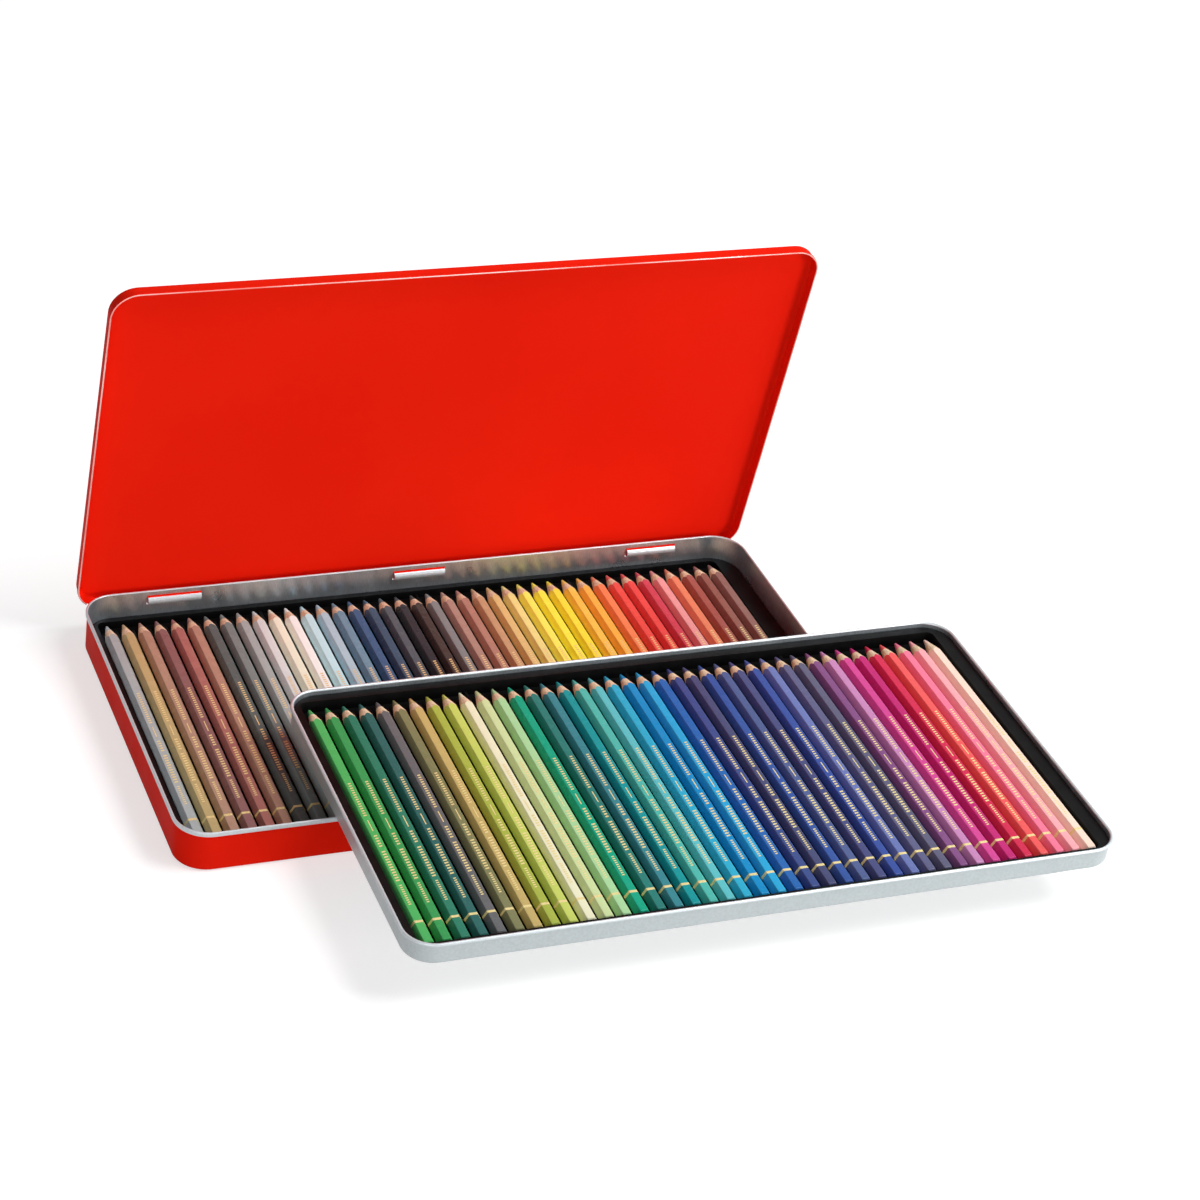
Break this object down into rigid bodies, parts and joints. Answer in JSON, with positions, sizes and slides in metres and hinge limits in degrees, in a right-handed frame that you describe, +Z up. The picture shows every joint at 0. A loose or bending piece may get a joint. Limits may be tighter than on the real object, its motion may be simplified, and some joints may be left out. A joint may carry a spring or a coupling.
{
  "type": "coloured pencil tin",
  "caption": "Open flat pencil tin with a hinged lid, a row of coloured pencils in a formed insert, and a lift-out tray with a second row parked across its front rim.",
  "frame": {"origin": "centre of the base tin's underside", "axes": "+X along the rows of pencils to the right, +Y towards the hinge, +Z up"},
  "size_m": [0.4191, 0.3078, 0.2087],
  "materials": {
    "red_lacquer": "glossy red lacquer outside and inside the lid, bare tinplate inside the base and on its rim",
    "red_lid": "glossy red lacquer",
    "tinplate": "bare satin tinplate with a bright rolled rim",
    "black_insert": "thin black formed sheet",
    "base_paint_1": "painted cedar, each pencil in its own colour, gold band near the dipped end",
    "base_lead_1": "coloured lead, each in its pencil's colour",
    "base_paint_2": "painted cedar, each pencil in its own colour, gold band near the dipped end",
    "base_lead_2": "coloured lead, each in its pencil's colour",
    "base_paint_3": "painted cedar, each pencil in its own colour, gold band near the dipped end",
    "base_lead_3": "coloured lead, each in its pencil's colour",
    "base_paint_4": "painted cedar, each pencil in its own colour, gold band near the dipped end",
    "base_lead_4": "coloured lead, each in its pencil's colour",
    "base_paint_5": "painted cedar, each pencil in its own colour, gold band near the dipped end",
    "base_lead_5": "coloured lead, each in its pencil's colour",
    "base_paint_6": "painted cedar, each pencil in its own colour, gold band near the dipped end",
    "base_lead_6": "coloured lead, each in its pencil's colour",
    "base_paint_7": "painted cedar, each pencil in its own colour, gold band near the dipped end",
    "base_lead_7": "coloured lead, each in its pencil's colour",
    "base_paint_8": "painted cedar, each pencil in its own colour, gold band near the dipped end",
    "base_lead_8": "coloured lead, each in its pencil's colour",
    "tray_paint_1": "painted cedar, each pencil in its own colour, gold band near the dipped end",
    "tray_lead_1": "coloured lead, each in its pencil's colour",
    "tray_paint_2": "painted cedar, each pencil in its own colour, gold band near the dipped end",
    "tray_lead_2": "coloured lead, each in its pencil's colour",
    "tray_paint_3": "painted cedar, each pencil in its own colour, gold band near the dipped end",
    "tray_lead_3": "coloured lead, each in its pencil's colour",
    "tray_paint_4": "painted cedar, each pencil in its own colour, gold band near the dipped end",
    "tray_lead_4": "coloured lead, each in its pencil's colour",
    "tray_paint_5": "painted cedar, each pencil in its own colour, gold band near the dipped end",
    "tray_lead_5": "coloured lead, each in its pencil's colour",
    "tray_paint_6": "painted cedar, each pencil in its own colour, gold band near the dipped end",
    "tray_lead_6": "coloured lead, each in its pencil's colour",
    "tray_paint_7": "painted cedar, each pencil in its own colour, gold band near the dipped end",
    "tray_lead_7": "coloured lead, each in its pencil's colour",
    "tray_paint_8": "painted cedar, each pencil in its own colour, gold band near the dipped end",
    "tray_lead_8": "coloured lead, each in its pencil's colour",
    "paint_40": "pale peach paint on cedar",
    "lead_40": "pale peach lead"
  },
  "bodies": {
    "base": {"base_tin": "red_lacquer", "base_insert": "black_insert", "base_pencils_1": "base_paint_1", "base_pencils_2": "base_paint_2", "base_pencils_3": "base_paint_3", "base_pencils_4": "base_paint_4", "base_pencils_5": "base_paint_5", "base_pencils_6": "base_paint_6", "base_pencils_7": "base_paint_7", "base_pencils_8": "base_paint_8", "base_leads_1": "base_lead_1", "base_leads_2": "base_lead_2", "base_leads_3": "base_lead_3", "base_leads_4": "base_lead_4", "base_leads_5": "base_lead_5", "base_leads_6": "base_lead_6", "base_leads_7": "base_lead_7", "base_leads_8": "base_lead_8"},
    "lid": {"lid_tin": "red_lid"},
    "tray": {"tray_tin": "tinplate", "tray_insert": "black_insert", "tray_pencils_1": "tray_paint_1", "tray_pencils_2": "tray_paint_2", "tray_pencils_3": "tray_paint_3", "tray_pencils_4": "tray_paint_4", "tray_pencils_5": "tray_paint_5", "tray_pencils_6": "tray_paint_6", "tray_pencils_7": "tray_paint_7", "tray_pencils_8": "tray_paint_8", "tray_leads_1": "tray_lead_1", "tray_leads_2": "tray_lead_2", "tray_leads_3": "tray_lead_3", "tray_leads_4": "tray_lead_4", "tray_leads_5": "tray_lead_5", "tray_leads_6": "tray_lead_6", "tray_leads_7": "tray_lead_7", "tray_leads_8": "tray_lead_8"},
    "pencil_40": {"tray_pencil_40": "paint_40", "tray_lead_40": "lead_40"}
  },
  "joints": [
    {"name": "lid_hinge", "type": "hinge", "parent": "base", "child": "lid", "pos_m": [0, 0.0961, 0.01685], "axis": [-1, 0, 0], "range_deg": [-69.5, 13]},
    {"name": "tray_draw", "type": "slide", "parent": "base", "child": "tray", "axis": [0, -1, 0], "range_m": [0, 0.13]},
    {"name": "pencil_lift", "type": "slide", "parent": "tray", "child": "pencil_40", "axis": [0, 0, 1], "range_m": [0, 0.04]}
  ]
}
